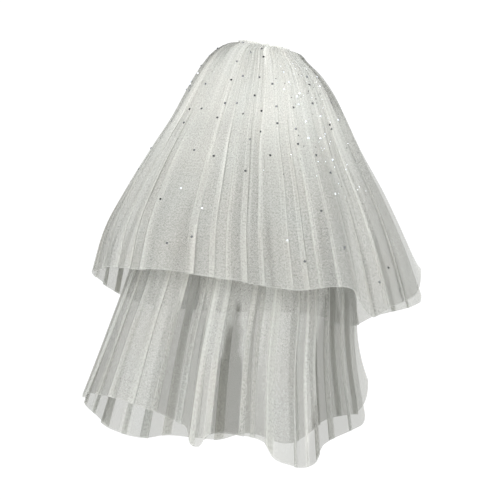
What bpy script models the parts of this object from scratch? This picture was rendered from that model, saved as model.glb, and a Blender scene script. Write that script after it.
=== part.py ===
"""Two-tier bridal veil of tulle, gathered on a hair comb, in the hollow form it has when worn.

Metres, +Z up. The origin is the middle of the top of the comb's bar, where the hair holds the veil.
The wearer's back is towards -Y, and the opening between the veil's side edges is towards +X.
Each tier is one sheet, in two solids. It is gathered to an oval ring round the comb's bar, passes over the head
as a bell and hangs in folds. Its two side edges meet loosely at the right.
"""

import math

import bmesh
import bpy
from mathutils import Matrix, Vector

# Comb, in metres
COMB_WIDTH = 0.080
COMB_THICK = 0.002
BAR_HEIGHT = 0.005
TOOTH_COUNT = 15
TOOTH_LENGTH = 0.040
TOOTH_WIDTH = 0.0022
TOOTH_TIP = 0.004

# Binding over the comb's bar, which the gathers are sewn to, in metres
BINDING_HALF_WIDTH = 0.0455
BINDING_HALF_DEPTH = 0.0065
BINDING_TOP = 0.0013
BINDING_BOTTOM = -0.0045
BINDING_COLUMNS = 48

# Cloth, in metres
WALL = 0.001
SEAM_GAP = 0.0003
FRILL_HEIGHT = 0.005
FRILL_FLARE = 0.003
FRILL_WAVE = 0.0008

# The sections of each bell, from the heading to the hem. A section is an oval ring round the wearer.
# share: place along the cloth, 0 at the heading and 1 at the hem
# centre: how far the ring's middle lies to the side
# half_width: from that middle to either side
# side_drop, back_drop, front_drop: how far the ring lies below the comb there
# back_depth, front_depth: how far it stands out towards -Y and +Y
SECTION_COLUMNS = (
    "share", "centre", "half_width", "side_drop",
    "back_depth", "back_drop", "front_depth", "front_drop",
)
UPPER_SECTIONS = (
    (0.00, 0.000, 0.0469, 0.000, 0.0086, 0.000, 0.0086, 0.000),
    (0.03, 0.002, 0.069, 0.004, 0.022, 0.003, 0.031, -0.010),
    (0.07, -0.003, 0.089, 0.020, 0.034, 0.016, 0.058, -0.015),
    (0.13, -0.002, 0.114, 0.046, 0.051, 0.042, 0.092, -0.015),
    (0.21, -0.003, 0.140, 0.086, 0.070, 0.083, 0.128, 0.006),
    (0.32, -0.007, 0.168, 0.140, 0.090, 0.140, 0.160, 0.052),
    (0.46, -0.012, 0.203, 0.205, 0.111, 0.212, 0.187, 0.130),
    (0.63, -0.013, 0.247, 0.285, 0.132, 0.298, 0.208, 0.235),
    (0.81, -0.014, 0.285, 0.368, 0.152, 0.390, 0.224, 0.352),
    (1.00, -0.010, 0.310, 0.455, 0.172, 0.488, 0.238, 0.482),
)
LOWER_SECTIONS = (
    (0.000, 0.000, 0.0456, 0.002, 0.0073, 0.002, 0.0073, 0.002),
    (0.025, 0.001, 0.061, 0.010, 0.016, 0.008, 0.024, -0.001),
    (0.055, 0.001, 0.077, 0.026, 0.024, 0.022, 0.044, -0.004),
    (0.100, 0.000, 0.099, 0.053, 0.038, 0.048, 0.074, -0.001),
    (0.160, -0.004, 0.122, 0.094, 0.055, 0.090, 0.105, 0.022),
    (0.240, -0.013, 0.145, 0.148, 0.072, 0.148, 0.133, 0.070),
    (0.360, -0.024, 0.172, 0.232, 0.089, 0.236, 0.155, 0.160),
    (0.500, -0.031, 0.194, 0.330, 0.106, 0.340, 0.170, 0.270),
    (0.660, -0.036, 0.217, 0.440, 0.126, 0.460, 0.184, 0.400),
    (0.830, -0.055, 0.239, 0.556, 0.148, 0.590, 0.198, 0.545),
    (1.000, -0.067, 0.270, 0.672, 0.170, 0.735, 0.212, 0.715),
)

# How far the hem lies below the comb, by the angle round the wearer in degrees.
# 0 is towards -Y, and positive angles go to the right.
HEM_COLUMNS = ("angle", "drop")
UPPER_HEM = (
    (-265, 0.484), (-250, 0.492), (-228, 0.502), (-216, 0.520), (-200, 0.492), (-160, 0.485),
    (-134, 0.478), (-118, 0.463), (-100, 0.445), (-82, 0.435), (-63, 0.436), (-43, 0.445),
    (-28, 0.453), (-8, 0.472), (11, 0.487), (31, 0.483), (39, 0.530), (47, 0.516), (60, 0.495),
    (75, 0.478),
)
LOWER_HEM = (
    (-262, 0.692), (-250, 0.696), (-225, 0.706), (-206, 0.752), (-187, 0.728), (-175, 0.740),
    (-166, 0.730), (-153, 0.718), (-142, 0.742), (-123, 0.726), (-104, 0.690), (-78, 0.664),
    (-55, 0.668), (-28, 0.712), (-19, 0.742), (-11, 0.785), (-2, 0.735), (5, 0.748),
    (14, 0.780), (29, 0.794), (39, 0.762), (48, 0.742), (70, 0.712),
)

# The folds, by the angle of their middle. reach is how far they stand out at the hem, and lap how
# wide the cloth lies three layers deep there, in degrees: above 0 the left side lies on top, and
# below 0 the right side.
FOLD_COLUMNS = ("angle", "reach", "lap")
UPPER_FOLDS = (
    (-248, 0.009, 2.0), (-238, 0.009, -2.0), (-228, 0.008, 2.5), (-219, 0.009, -2.0),
    (-209, 0.008, 1.4), (-200, 0.009, 3.0), (-190, 0.008, -2.0), (-182, 0.009, 2.0),
    (-172, 0.010, -2.5), (-163, 0.008, 2.5), (-156, 0.009, 2.0), (-147, 0.008, -2.5),
    (-136, 0.009, 2.5), (-127, 0.008, -2.0), (-116, 0.009, 3.0), (-106, 0.008, 2.0),
    (-95, 0.008, -2.5), (-82, 0.008, 2.5), (-68, 0.009, -3.0), (-57, 0.009, 2.5),
    (-49.5, 0.008, 2.0), (-43, 0.009, -3.0), (-23.5, 0.009, 3.0), (-16, 0.007, 2.0),
    (-10.5, 0.007, -1.5), (-5, 0.007, 1.8), (0.8, 0.007, -1.6), (10, 0.007, 2.2),
    (15.5, 0.007, 1.8), (20.5, 0.007, -1.6), (27, 0.006, -1.2), (34, 0.008, 1.0),
    (40.5, 0.008, 1.0), (47.5, 0.009, -1.3), (57, 0.010, 2.0),
)
LOWER_FOLDS = (
    (-243, 0.012, -4.0), (-232, 0.013, 4.0), (-219, 0.014, -4.0), (-208, 0.014, 4.5),
    (-197, 0.012, -3.5), (-186, 0.013, 4.0), (-175, 0.013, -4.0), (-164, 0.012, 4.0),
    (-152, 0.013, -4.5), (-141, 0.014, 4.0), (-130, 0.013, -4.0), (-118, 0.013, 4.5),
    (-107, 0.012, -4.0), (-95, 0.012, 4.0), (-84, 0.012, -4.0), (-72, 0.012, 3.5),
    (-61, 0.011, 3.0), (-50, 0.011, -3.0), (-38.5, 0.011, 2.5), (-28.5, 0.012, -2.5),
    (-18.5, 0.012, 2.4), (-13.5, 0.013, -2.0), (-7.5, 0.013, 2.5), (5, 0.011, -2.0),
    (9, 0.010, 1.6), (15.5, 0.014, -3.0), (26, 0.015, 0.8), (31, 0.010, -0.8),
    (35.5, 0.011, 1.6), (42.5, 0.011, 2.5), (54, 0.011, -3.0),
)

# The angle of each sheet's two side edges, and the radius of the lower corner there
UPPER_EDGES = ((-262, 0.012), (72, 0.045))
LOWER_EDGES = ((-256, 0.060), (66, 0.015))

# Each tier is one sheet, held as two solids, and this is the angle of the small gap between them
HALVES_MEET = {"upper_tier": -88.5, "lower_tier": -89.5}

# Share of its reach that a fold stands out and in at its two creases
CREASE_SWING = 0.75
# Share below which the rows lie twice as close as the sections
FINE_ROWS_FROM = 0.15
# Where the cloth has columns between a side edge and the nearest crease
EDGE_STEPS = (0.00, 0.08, 0.20, 0.40, 0.65)

# The folds keep this part of their reach by the comb, and have their full laps from this share on
REACH_AT_TOP = 0.12
LAP_FULL = 0.60
# How far the hem's line moves round with the laps: at 1 all layers of a lap end at one height
HEM_FOLLOW = 0.9

# The comb, the heading and the crown are lower on the right: fall per metre, and where it ends
LEAN = 0.18
LEAN_END = 0.36

TULLE = (0.87, 0.88, 0.86)
BINDING_WHITE = (0.90, 0.90, 0.88)
COMB_PLASTIC = (0.90, 0.91, 0.90)


def clear_scene():
    for item in list(bpy.data.objects):
        bpy.data.objects.remove(item)


def material(name, colour, roughness):
    made = bpy.data.materials.new(name)
    made.use_nodes = True
    shader = made.node_tree.nodes["Principled BSDF"]
    shader.inputs["Base Color"].default_value = (*colour, 1)
    shader.inputs["Roughness"].default_value = roughness
    shader.inputs["Metallic"].default_value = 0
    return made


def add_object(name, shape, finish):
    """Puts a bmesh into the scene as one object with smooth faces."""
    mesh = bpy.data.meshes.new(name)
    shape.to_mesh(mesh)
    shape.free()
    mesh.materials.append(finish)
    mesh.shade_smooth()
    made = bpy.data.objects.new(name, mesh)
    bpy.context.collection.objects.link(made)
    return made


def lean_over(shape):
    """Turns a bmesh about the origin so that its right end is lower."""
    turn = Matrix.Rotation(math.atan(LEAN), 3, "Y")
    bmesh.ops.rotate(shape, verts=shape.verts, cent=(0, 0, 0), matrix=turn)


def ease(value):
    """0 below 0, 1 above 1, and a soft step between."""
    value = min(max(value, 0.0), 1.0)
    return value * value * (3 - 2 * value)


def read(table, column, at):
    """The value of a column at a place along the table's first column, on a smooth curve through the rows."""
    last = len(table) - 1
    row = 0
    while row < last - 1 and at > table[row + 1][0]:
        row += 1
    before = table[max(row - 1, 0)]
    low, high = table[row], table[row + 1]
    after = table[min(row + 2, last)]
    span = high[0] - low[0]
    part = min(max((at - low[0]) / span, 0.0), 1.0)
    slope_low = (high[column] - before[column]) / (high[0] - before[0]) * span
    slope_high = (after[column] - low[column]) / (after[0] - low[0]) * span
    return (
        (1 + 2 * part) * (1 - part) ** 2 * low[column]
        + part * (1 - part) ** 2 * slope_low
        + part**2 * (3 - 2 * part) * high[column]
        - part**2 * (1 - part) * slope_high
    )


def columns_of(folds, edges):
    """The cloth's columns, from edge to edge: plain angle, push of the lap, and swing."""
    start, end = edges[0][0], edges[1][0]
    middles = [fold[0] for fold in folds]
    bounds = [2 * start - middles[0], *middles, 2 * end - middles[-1]]
    corners = []
    for place, (middle, reach, lap) in enumerate(folds):
        room = min(middle - bounds[place], bounds[place + 2] - middle)
        swing = math.copysign(CREASE_SWING, lap) * reach
        push = room / 4 + abs(lap) / 2
        corners.append(((middle - room / 4, push, swing), (middle + room / 4, -push, -swing)))

    made = []
    first, last = corners[0][0], corners[-1][1]
    for part in EDGE_STEPS:
        made.append((start + (first[0] - start) * part, first[1] * ease(part), first[2] * ease(part)))
    for place, (before, after) in enumerate(corners):
        made += [before, after]
        if place < len(corners) - 1:
            following = corners[place + 1][0]
            swing = (after[2] + following[2]) / 2
            if after[2] * following[2] > 0:
                swing /= CREASE_SWING
            made.append(((after[0] + following[0]) / 2, (after[1] + following[1]) / 2, swing))
    for part in reversed(EDGE_STEPS):
        made.append((end + (last[0] - end) * part, last[1] * ease(part), last[2] * ease(part)))
    return made


def bell_point(tier, plain, pushed, share):
    """A point of the smooth bell, without folds. The hem goes part of the way with the laps."""
    ring = {name: read(tier["sections"], place, share) for place, name in enumerate(SECTION_COLUMNS)}
    angle = math.radians(pushed)
    side = "back" if math.cos(angle) > 0 else "front"
    depth = ring[side + "_depth"]
    x = ring["centre"] + ring["half_width"] * math.sin(angle)
    y = -depth * math.cos(angle)
    fall = ring["side_drop"] * math.sin(angle) ** 2 + ring[side + "_drop"] * math.cos(angle) ** 2

    # The hem's own line takes over from the last section's towards the bottom
    last = dict(zip(SECTION_COLUMNS, tier["sections"][-1]))
    last_fall = last["side_drop"] * math.sin(angle) ** 2 + last[side + "_drop"] * math.cos(angle) ** 2
    hem = read(tier["hem"], HEM_COLUMNS.index("drop"), plain + (pushed - plain) * HEM_FOLLOW)
    fall += (hem - last_fall) * share**1.5
    fall -= corner_rise(tier, plain) * share**8
    fall += LEAN * x * (1 - ease(share / LEAN_END))
    return Vector((x, y, -fall))


def corner_rise(tier, angle):
    """How far the rounded lower corners lift the hem near the sheet's side edges."""
    half_width = tier["sections"][-1][SECTION_COLUMNS.index("half_width")]
    edge, radius = min(tier["edges"], key=lambda item: abs(item[0] - angle))
    inside = radius - math.radians(abs(edge - angle)) * half_width
    if inside <= 0:
        return 0.0
    return radius - math.sqrt(radius**2 - inside**2)


def tier_point(tier, column, share):
    """The middle of the cloth at a column and a share of its length."""
    plain, push, swing = column
    pushed = plain + push * ease(share / LAP_FULL)
    point = bell_point(tier, plain, pushed, share)
    around = bell_point(tier, plain, pushed + 1, share) - bell_point(tier, plain, pushed - 1, share)
    down = bell_point(tier, plain, pushed, min(share + 0.01, 1)) - bell_point(
        tier, plain, pushed, max(share - 0.01, 0)
    )
    outward = down.cross(around).normalized()
    reach = REACH_AT_TOP + (1 - REACH_AT_TOP) * share
    return point + outward * swing * reach * ease(share / 0.05)


def frill_point(tier, place, column):
    """The top edge of the small frill that stands above the gathering."""
    ring = dict(zip(SECTION_COLUMNS, tier["sections"][0]))
    angle = math.radians(column[0])
    flare = FRILL_FLARE + FRILL_WAVE * (1 if place % 2 else -1) * math.cos(angle) ** 2
    x = (ring["half_width"] + flare) * math.sin(angle)
    return Vector((x, -(ring["back_depth"] + flare) * math.cos(angle), FRILL_HEIGHT - LEAN * x))


def make_tier(name, tier, finish):
    """One sheet of gathered tulle, as a front solid and a back solid that meet at the left."""
    columns = columns_of(tier["folds"], tier["edges"])
    rows = []
    if tier["frill"]:
        rows.append([frill_point(tier, *item) for item in enumerate(columns)])
    for share in row_shares(tier["sections"]):
        rows.append([tier_point(tier, column, share) for column in columns])
    meet = min(range(len(columns)), key=lambda place: abs(columns[place][0] - HALVES_MEET[name]))
    make_half(name + "_front", [row[: meet + 1] for row in rows], -1, finish)
    make_half(name + "_back", [row[meet:] for row in rows], 0, finish)


def row_shares(sections):
    """The sections' shares, with one more between each two where the folds are deep."""
    shares = [section[0] for section in sections]
    between = [(low + high) / 2 for low, high in zip(shares, shares[1:]) if low > FINE_ROWS_FROM]
    return sorted(shares + between)


def make_half(name, rows, gap_end, finish):
    """A grid of points given its wall by Solidify, drawn back by half the seam gap at one end."""
    shape = bmesh.new()
    grid = []
    for row in rows:
        points = list(row)
        inward = points[-2] - points[-1] if gap_end else points[1] - points[0]
        points[gap_end] = points[gap_end] + inward.normalized() * SEAM_GAP / 2
        grid.append([shape.verts.new(point) for point in points])
    for upper, lower in zip(grid, grid[1:]):
        for place in range(len(upper) - 1):
            shape.faces.new((upper[place], lower[place], lower[place + 1], upper[place + 1]))
    made = add_object(name, shape, finish)
    wall = made.modifiers.new("wall", "SOLIDIFY")
    wall.thickness = WALL
    wall.offset = 0


def make_binding(finish):
    """The binding as a thick oval cap with a slot from below for the comb's bar."""
    slot_half_width = COMB_WIDTH / 2 + SEAM_GAP
    slot_half_depth = COMB_THICK / 2 + SEAM_GAP
    shape = bmesh.new()
    outer_low, outer_high, inner_low, inner_high = [], [], [], []
    for place in range(BINDING_COLUMNS):
        angle = 2 * math.pi * (place + 0.5) / BINDING_COLUMNS
        across, along = math.sin(angle), math.cos(angle)
        x, y = BINDING_HALF_WIDTH * across, BINDING_HALF_DEPTH * along
        outer_low.append(shape.verts.new((x, y, BINDING_BOTTOM)))
        outer_high.append(shape.verts.new((x, y, BINDING_TOP)))
        slot_x = slot_half_width * min(max(across * 1.02, -1), 1)
        slot_y = slot_half_depth * min(max(along * 6, -1), 1)
        inner_low.append(shape.verts.new((slot_x, slot_y, BINDING_BOTTOM)))
        inner_high.append(shape.verts.new((slot_x, slot_y, SEAM_GAP)))
    for one, other in ((outer_low, outer_high), (inner_high, inner_low), (inner_low, outer_low)):
        for place in range(BINDING_COLUMNS):
            after = (place + 1) % BINDING_COLUMNS
            shape.faces.new((one[place], one[after], other[after], other[place]))
    shape.faces.new(outer_high)
    shape.faces.new(inner_high)
    bmesh.ops.recalc_face_normals(shape, faces=shape.faces)
    lean_over(shape)
    made = add_object("heading_binding", shape, finish)
    made.data.set_sharp_from_angle(angle=math.radians(40))
    return made


def make_comb(finish):
    """The comb as one flat outline, a bar with pointed teeth, extruded through its thickness."""
    half = COMB_WIDTH / 2
    pitch = (COMB_WIDTH - TOOTH_WIDTH) / (TOOTH_COUNT - 1)
    root, tip = -BAR_HEIGHT, -BAR_HEIGHT - TOOTH_LENGTH
    outline = [(-half, 0.0)]
    for tooth in range(TOOTH_COUNT):
        left = -half + tooth * pitch
        right = left + TOOTH_WIDTH
        shoulder = tip + TOOTH_TIP
        outline += [(left, root), (left, shoulder), ((left + right) / 2, tip), (right, shoulder), (right, root)]
    outline.append((half, 0.0))

    shape = bmesh.new()
    face = shape.faces.new([shape.verts.new((x, -COMB_THICK / 2, z)) for x, z in outline])
    extruded = bmesh.ops.extrude_face_region(shape, geom=[face])
    for item in extruded["geom"]:
        if isinstance(item, bmesh.types.BMVert):
            item.co.y += COMB_THICK
    bmesh.ops.recalc_face_normals(shape, faces=shape.faces)
    lean_over(shape)
    made = add_object("comb", shape, finish)
    made.data.set_sharp_from_angle(angle=math.radians(30))
    return made


def main():
    clear_scene()
    tulle = material("tulle", TULLE, 0.85)
    binding = material("binding", BINDING_WHITE, 0.70)
    plastic = material("comb_plastic", COMB_PLASTIC, 0.30)
    upper = {
        "sections": UPPER_SECTIONS,
        "hem": UPPER_HEM,
        "folds": UPPER_FOLDS,
        "edges": UPPER_EDGES,
        "frill": True,
    }
    lower = {
        "sections": LOWER_SECTIONS,
        "hem": LOWER_HEM,
        "folds": LOWER_FOLDS,
        "edges": LOWER_EDGES,
        "frill": False,
    }
    make_comb(plastic)
    make_binding(binding)
    make_tier("upper_tier", upper, tulle)
    make_tier("lower_tier", lower, tulle)


main()
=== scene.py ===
"""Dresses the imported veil: two tiers of gathered tulle with rhinestones, the comb and its binding.

Metres, +Z up, -Y towards the wearer's back, +X towards the opening between the side edges. The
sections, folds, side edges and upper hem repeat those of the solids. The lower hem's line is finer
here, the folds are flatter, and the frill waves more.
"""

import math

import bmesh
import bpy
import numpy as np
from bpy.props import FloatProperty, FloatVectorProperty, IntProperty, PointerProperty
from mathutils import Matrix, Vector


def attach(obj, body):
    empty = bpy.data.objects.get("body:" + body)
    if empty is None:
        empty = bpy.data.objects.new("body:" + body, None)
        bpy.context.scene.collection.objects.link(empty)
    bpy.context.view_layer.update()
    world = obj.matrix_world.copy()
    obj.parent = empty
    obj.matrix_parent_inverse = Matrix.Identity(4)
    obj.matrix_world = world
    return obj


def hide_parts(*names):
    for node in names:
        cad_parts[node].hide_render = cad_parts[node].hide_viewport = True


bl_info = {
    "name": "Two-tier bridal veil",
    "version": (1, 0, 0),
    "blender": (4, 5, 0),
    "location": "3D View > Sidebar > Veil",
    "description": "Gathered tulle tiers with rhinestones on a hair comb",
    "category": "Object",
}

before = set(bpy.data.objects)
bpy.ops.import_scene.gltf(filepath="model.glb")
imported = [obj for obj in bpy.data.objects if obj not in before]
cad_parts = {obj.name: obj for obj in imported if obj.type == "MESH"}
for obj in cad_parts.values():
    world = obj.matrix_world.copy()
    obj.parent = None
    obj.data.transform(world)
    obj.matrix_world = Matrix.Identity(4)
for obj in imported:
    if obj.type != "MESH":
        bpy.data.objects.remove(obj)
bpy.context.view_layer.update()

# The sections of each bell, from the heading to the hem. A section is an oval ring round the wearer.
# share: place along the cloth, 0 at the heading and 1 at the hem
# centre: how far the ring's middle lies to the side
# half_width: from that middle to either side
# side_drop, back_drop, front_drop: how far the ring lies below the comb there
# back_depth, front_depth: how far it stands out towards -Y and +Y
SECTION_COLUMNS = (
    "share", "centre", "half_width", "side_drop",
    "back_depth", "back_drop", "front_depth", "front_drop",
)
UPPER_SECTIONS = (
    (0.00, 0.000, 0.0469, 0.000, 0.0086, 0.000, 0.0086, 0.000),
    (0.03, 0.002, 0.069, 0.004, 0.022, 0.003, 0.031, -0.010),
    (0.07, -0.003, 0.089, 0.020, 0.034, 0.016, 0.058, -0.015),
    (0.13, -0.002, 0.114, 0.046, 0.051, 0.042, 0.092, -0.015),
    (0.21, -0.003, 0.140, 0.086, 0.070, 0.083, 0.128, 0.006),
    (0.32, -0.007, 0.168, 0.140, 0.090, 0.140, 0.160, 0.052),
    (0.46, -0.012, 0.203, 0.205, 0.111, 0.212, 0.187, 0.130),
    (0.63, -0.013, 0.247, 0.285, 0.132, 0.298, 0.208, 0.235),
    (0.81, -0.014, 0.285, 0.368, 0.152, 0.390, 0.224, 0.352),
    (1.00, -0.010, 0.310, 0.455, 0.172, 0.488, 0.238, 0.482),
)
LOWER_SECTIONS = (
    (0.000, 0.000, 0.0456, 0.002, 0.0073, 0.002, 0.0073, 0.002),
    (0.025, 0.001, 0.061, 0.010, 0.016, 0.008, 0.024, -0.001),
    (0.055, 0.001, 0.077, 0.026, 0.024, 0.022, 0.044, -0.004),
    (0.100, 0.000, 0.099, 0.053, 0.038, 0.048, 0.074, -0.001),
    (0.160, -0.004, 0.122, 0.094, 0.055, 0.090, 0.105, 0.022),
    (0.240, -0.013, 0.145, 0.148, 0.072, 0.148, 0.133, 0.070),
    (0.360, -0.024, 0.172, 0.232, 0.089, 0.236, 0.155, 0.160),
    (0.500, -0.031, 0.194, 0.330, 0.106, 0.340, 0.170, 0.270),
    (0.660, -0.036, 0.217, 0.440, 0.126, 0.460, 0.184, 0.400),
    (0.830, -0.055, 0.239, 0.556, 0.148, 0.590, 0.198, 0.545),
    (1.000, -0.067, 0.270, 0.672, 0.170, 0.735, 0.212, 0.715),
)

# How far the hem lies below the comb, by the angle round the wearer in degrees.
# 0 is towards -Y, and positive angles go to the right.
HEM_COLUMNS = ("angle", "drop")
UPPER_HEM = (
    (-265, 0.484), (-250, 0.492), (-228, 0.502), (-216, 0.520), (-200, 0.492), (-160, 0.485),
    (-134, 0.478), (-118, 0.463), (-100, 0.445), (-82, 0.435), (-63, 0.436), (-43, 0.445),
    (-28, 0.453), (-8, 0.472), (11, 0.487), (31, 0.483), (39, 0.530), (47, 0.516), (60, 0.495),
    (75, 0.478),
)
LOWER_HEM = (
    (-262, 0.692), (-250, 0.696), (-225, 0.706), (-206, 0.752), (-187, 0.732), (-175, 0.745),
    (-166, 0.742), (-153, 0.736), (-142, 0.742), (-123, 0.726), (-104, 0.690), (-78, 0.664),
    (-55, 0.668), (-28, 0.698), (-18, 0.718), (-15, 0.727), (-14, 0.751), (-12.5, 0.758),
    (-10, 0.758), (-8.6, 0.748), (-7.6, 0.739), (-2, 0.735), (5, 0.740), (13.5, 0.750),
    (17, 0.778), (23, 0.790), (30, 0.794), (34.5, 0.784), (38, 0.756), (48, 0.738), (70, 0.712),
)

# The folds. Each row is the angle of a fold's middle, how far it stands out at the hem, and how wide
# the cloth lies three layers deep there, in degrees: above 0 the left side lies on top, and below 0
# the right side.
UPPER_FOLDS = (
    (-248, 0.009, 2.0), (-238, 0.009, -2.0), (-228, 0.008, 2.5), (-219, 0.009, -2.0),
    (-209, 0.008, 1.4), (-200, 0.009, 3.0), (-190, 0.008, -2.0), (-182, 0.009, 2.0),
    (-172, 0.010, -2.5), (-163, 0.008, 2.5), (-156, 0.009, 2.0), (-147, 0.008, -2.5),
    (-136, 0.009, 2.5), (-127, 0.008, -2.0), (-116, 0.009, 3.0), (-106, 0.008, 2.0),
    (-95, 0.008, -2.5), (-82, 0.008, 2.5), (-68, 0.009, -3.0), (-57, 0.009, 2.5),
    (-49.5, 0.008, 2.0), (-43, 0.009, -3.0), (-23.5, 0.009, 3.0), (-16, 0.007, 2.0),
    (-10.5, 0.007, -1.5), (-5, 0.007, 1.8), (0.8, 0.007, -1.6), (10, 0.007, 2.2),
    (15.5, 0.007, 1.8), (20.5, 0.007, -1.6), (27, 0.006, -1.2), (34, 0.008, 1.0),
    (40.5, 0.008, 1.0), (47.5, 0.009, -1.3), (57, 0.010, 2.0),
)
LOWER_FOLDS = (
    (-243, 0.012, -4.0), (-232, 0.013, 4.0), (-219, 0.014, -4.0), (-208, 0.014, 4.5),
    (-197, 0.012, -3.5), (-186, 0.013, 4.0), (-175, 0.013, -4.0), (-164, 0.012, 4.0),
    (-152, 0.013, -4.5), (-141, 0.014, 4.0), (-130, 0.013, -4.0), (-118, 0.013, 4.5),
    (-107, 0.012, -4.0), (-95, 0.012, 4.0), (-84, 0.012, -4.0), (-72, 0.012, 3.5),
    (-61, 0.011, 3.0), (-50, 0.011, -3.0), (-38.5, 0.011, 2.5), (-28.5, 0.012, -2.5),
    (-18.5, 0.012, 2.4), (-13.5, 0.013, -2.0), (-7.5, 0.013, 2.5), (5, 0.011, -2.0),
    (9, 0.010, 1.6), (15.5, 0.014, -3.0), (26, 0.015, 0.8), (31, 0.010, -0.8),
    (35.5, 0.011, 1.6), (42.5, 0.011, 2.5), (54, 0.011, -3.0),
)

# The angle of each sheet's two side edges, and the radius of the lower corner there
UPPER_EDGES = ((-262, 0.012), (72, 0.045))
LOWER_EDGES = ((-256, 0.060), (66, 0.015))

# Share of its reach that a fold stands out and in at its two creases
CREASE_SWING = 0.13
# Share of its reach that the cloth bulges between two folds that both end on the same side, and the
# least swing that counts as a side
BULGE = 0.22
LEAST_SWING = 1e-4
# Where the cloth has points between the two corners of a fold, and how sharply it is creased at each
LAP_CREASES = ((0.00, 1.0), (0.06, 0.5), (0.18, 0.0), (0.50, 0.0), (0.82, 0.0), (0.94, 0.5))
LAP_MIDDLE = len(LAP_CREASES) // 2
# The same between one fold and the next
SWATH_CREASES = (
    (0.00, 1.0), (0.03, 0.4), (0.08, 0.0), (0.20, 0.0), (0.35, 0.0), (0.50, 0.0), (0.65, 0.0),
    (0.80, 0.0), (0.92, 0.0), (0.97, 0.4),
)
# The edge of the layer below shows through as a thin line: half its width in degrees, and how bright
# it is
UNDER_EDGE = 0.14
UNDER_BRIGHT = 0.55
# Where the cloth has points between a side edge and the fold next to it, and how sharp the edge looks
EDGE_PLACES = (0.00, 0.03, 0.08, 0.15, 0.25, 0.36, 0.48, 0.60, 0.72, 0.85, 0.97)
EDGE_CREASE = 0.8

# Share of their reach that the folds have at the heading, and the share along the cloth where they
# begin to stand out in full
REACH_AT_TOP = 0.12
HEADING_END = 0.05
# Share along the cloth where the laps have their full width
LAP_FULL = 0.60
# How much of the way the hem's line goes along with a lap, and how late the line and the rounded
# corners start to shape the cloth
HEM_FOLLOW = 0.9
HEM_POWER = 1.5
CORNER_POWER = 8
# How far the heading falls for each metre to the right, and the share along the cloth where that ends
LEAN = 0.18
LEAN_END = 0.36
# Steps to either side that give the bell's outward direction, in degrees and as a share
ANGLE_STEP = 1
SHARE_STEP = 0.01
# How much closer the rows of points lie near the heading
ROW_POWER = 1.2

# Fine gathers below the heading: how far their waves drift from column to column, the share where
# they have their full height, where the first one ends and how much later the last one does, and over
# how many columns the ends are evened out
GATHER_DRIFT = 0.35
GATHER_FULL = 0.03
GATHER_ENDS = (0.25, 0.45)
GATHER_EVEN = 5
# Soft creases: waves round the wearer, turn along the cloth in radians, and height. They start at a
# share of the cloth and grow over another.
RIPPLES = (
    (5, 3, 0.0011), (9, -4, 0.0011), (14, 7, 0.0011), (23, -5, 0.0005), (31, 9, 0.0005),
    (3, 11, 0.0005),
)
RIPPLE_START = 0.12
RIPPLE_GROWTH = 0.3

# The frill's height above the heading, by the angle
FRILL_COLUMNS = ("angle", "height")
FRILL = (
    (-270, 0.0050), (-240, 0.0040), (-215, 0.0060), (-190, 0.0045), (-165, 0.0060), (-140, 0.0040),
    (-115, 0.0045), (-92, 0.0040), (-66, 0.0048), (-40, 0.0068), (-22, 0.0058), (-13, 0.0030),
    (-5, 0.0042), (8, 0.0044), (14, 0.0030), (22, 0.0034), (36, 0.0050), (52, 0.0042),
    (66, 0.0035), (90, 0.0035),
)
# Its rows of points, how far its top edge flares out, and how fast that comes on
FRILL_ROWS = 5
FRILL_FLARE = 0.0035
FRILL_POWER = 0.8
# Its waves: depth at the top edge, number, drift, and the share of the depth that is left at the sides
FRILL_WAVE = 0.0022
FRILL_WAVES = 21
FRILL_DRIFT = 0.06
FRILL_SIDES = 0.25
# How its height goes up and down: number of waves, and share of the height
FRILL_RISE_WAVES = 17
FRILL_RISE = 0.12
# How sharp its top edge looks, and how much of the heading's net is seen in it
FRILL_CREASE = 0.5
FRILL_COVER = 0.7

# How dense the net looks by the angle: the more layers lie together, the denser
DENSITY_COLUMNS = ("angle", "upper", "lower")
DENSITY = (
    (-275, 0.8, 0.7), (-240, 1.0, 0.8), (-210, 0.9, 0.8), (-180, 1.0, 0.9), (-150, 1.0, 0.8),
    (-120, 0.9, 0.9), (-95, 0.75, 0.7), (-75, 0.75, 0.65), (-60, 0.90, 0.72), (-45, 1.1, 0.9),
    (-20, 1.1, 0.95), (-13, 1.1, 0.95), (-9, 1.0, 1.05), (-5, 0.95, 1.1), (2, 1.0, 1.1),
    (7, 1.1, 1.15), (14, 1.05, 1.15), (22, 1.05, 1.0), (32, 1.0, 0.8), (45, 0.85, 0.7),
    (55, 0.60, 0.6), (72, 0.45, 0.5), (90, 0.45, 0.5),
)
# Wedges of single net that open towards the hem between two folds. Each row is the angle of the
# middle at the hem, the half width there in degrees, the share where the wedge starts, and how much
# of the density is left. A wedge's sides fade over a few tenths of a degree.
UPPER_WEDGES = (
    (-210, 7, 0.55, 0.7), (-140, 6, 0.6, 0.7), (-84, 5, 0.55, 0.75), (-29, 3.0, 0.62, 0.8),
    (4.5, 1.2, 0.66, 0.6), (24, 3, 0.6, 0.85), (52, 4, 0.5, 0.75), (62, 3, 0.55, 0.75),
)
LOWER_WEDGES = (
    (-225, 5, 0.6, 0.6), (-192, 6, 0.65, 0.6), (-147, 5, 0.6, 0.6), (-112, 6, 0.65, 0.6),
    (-66, 5, 0.75, 0.7), (-21, 9, 0.36, 0.45), (-1.0, 7.5, 0.71, 0.05), (8.5, 4.5, 0.45, 0.7),
    (12, 1.5, 0.62, 0.7), (29, 2.0, 0.60, 0.7), (44, 13, 0.50, 0.28),
    (60, 4, 0.6, 0.6),
)
WEDGE_SOFT = 0.6
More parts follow.
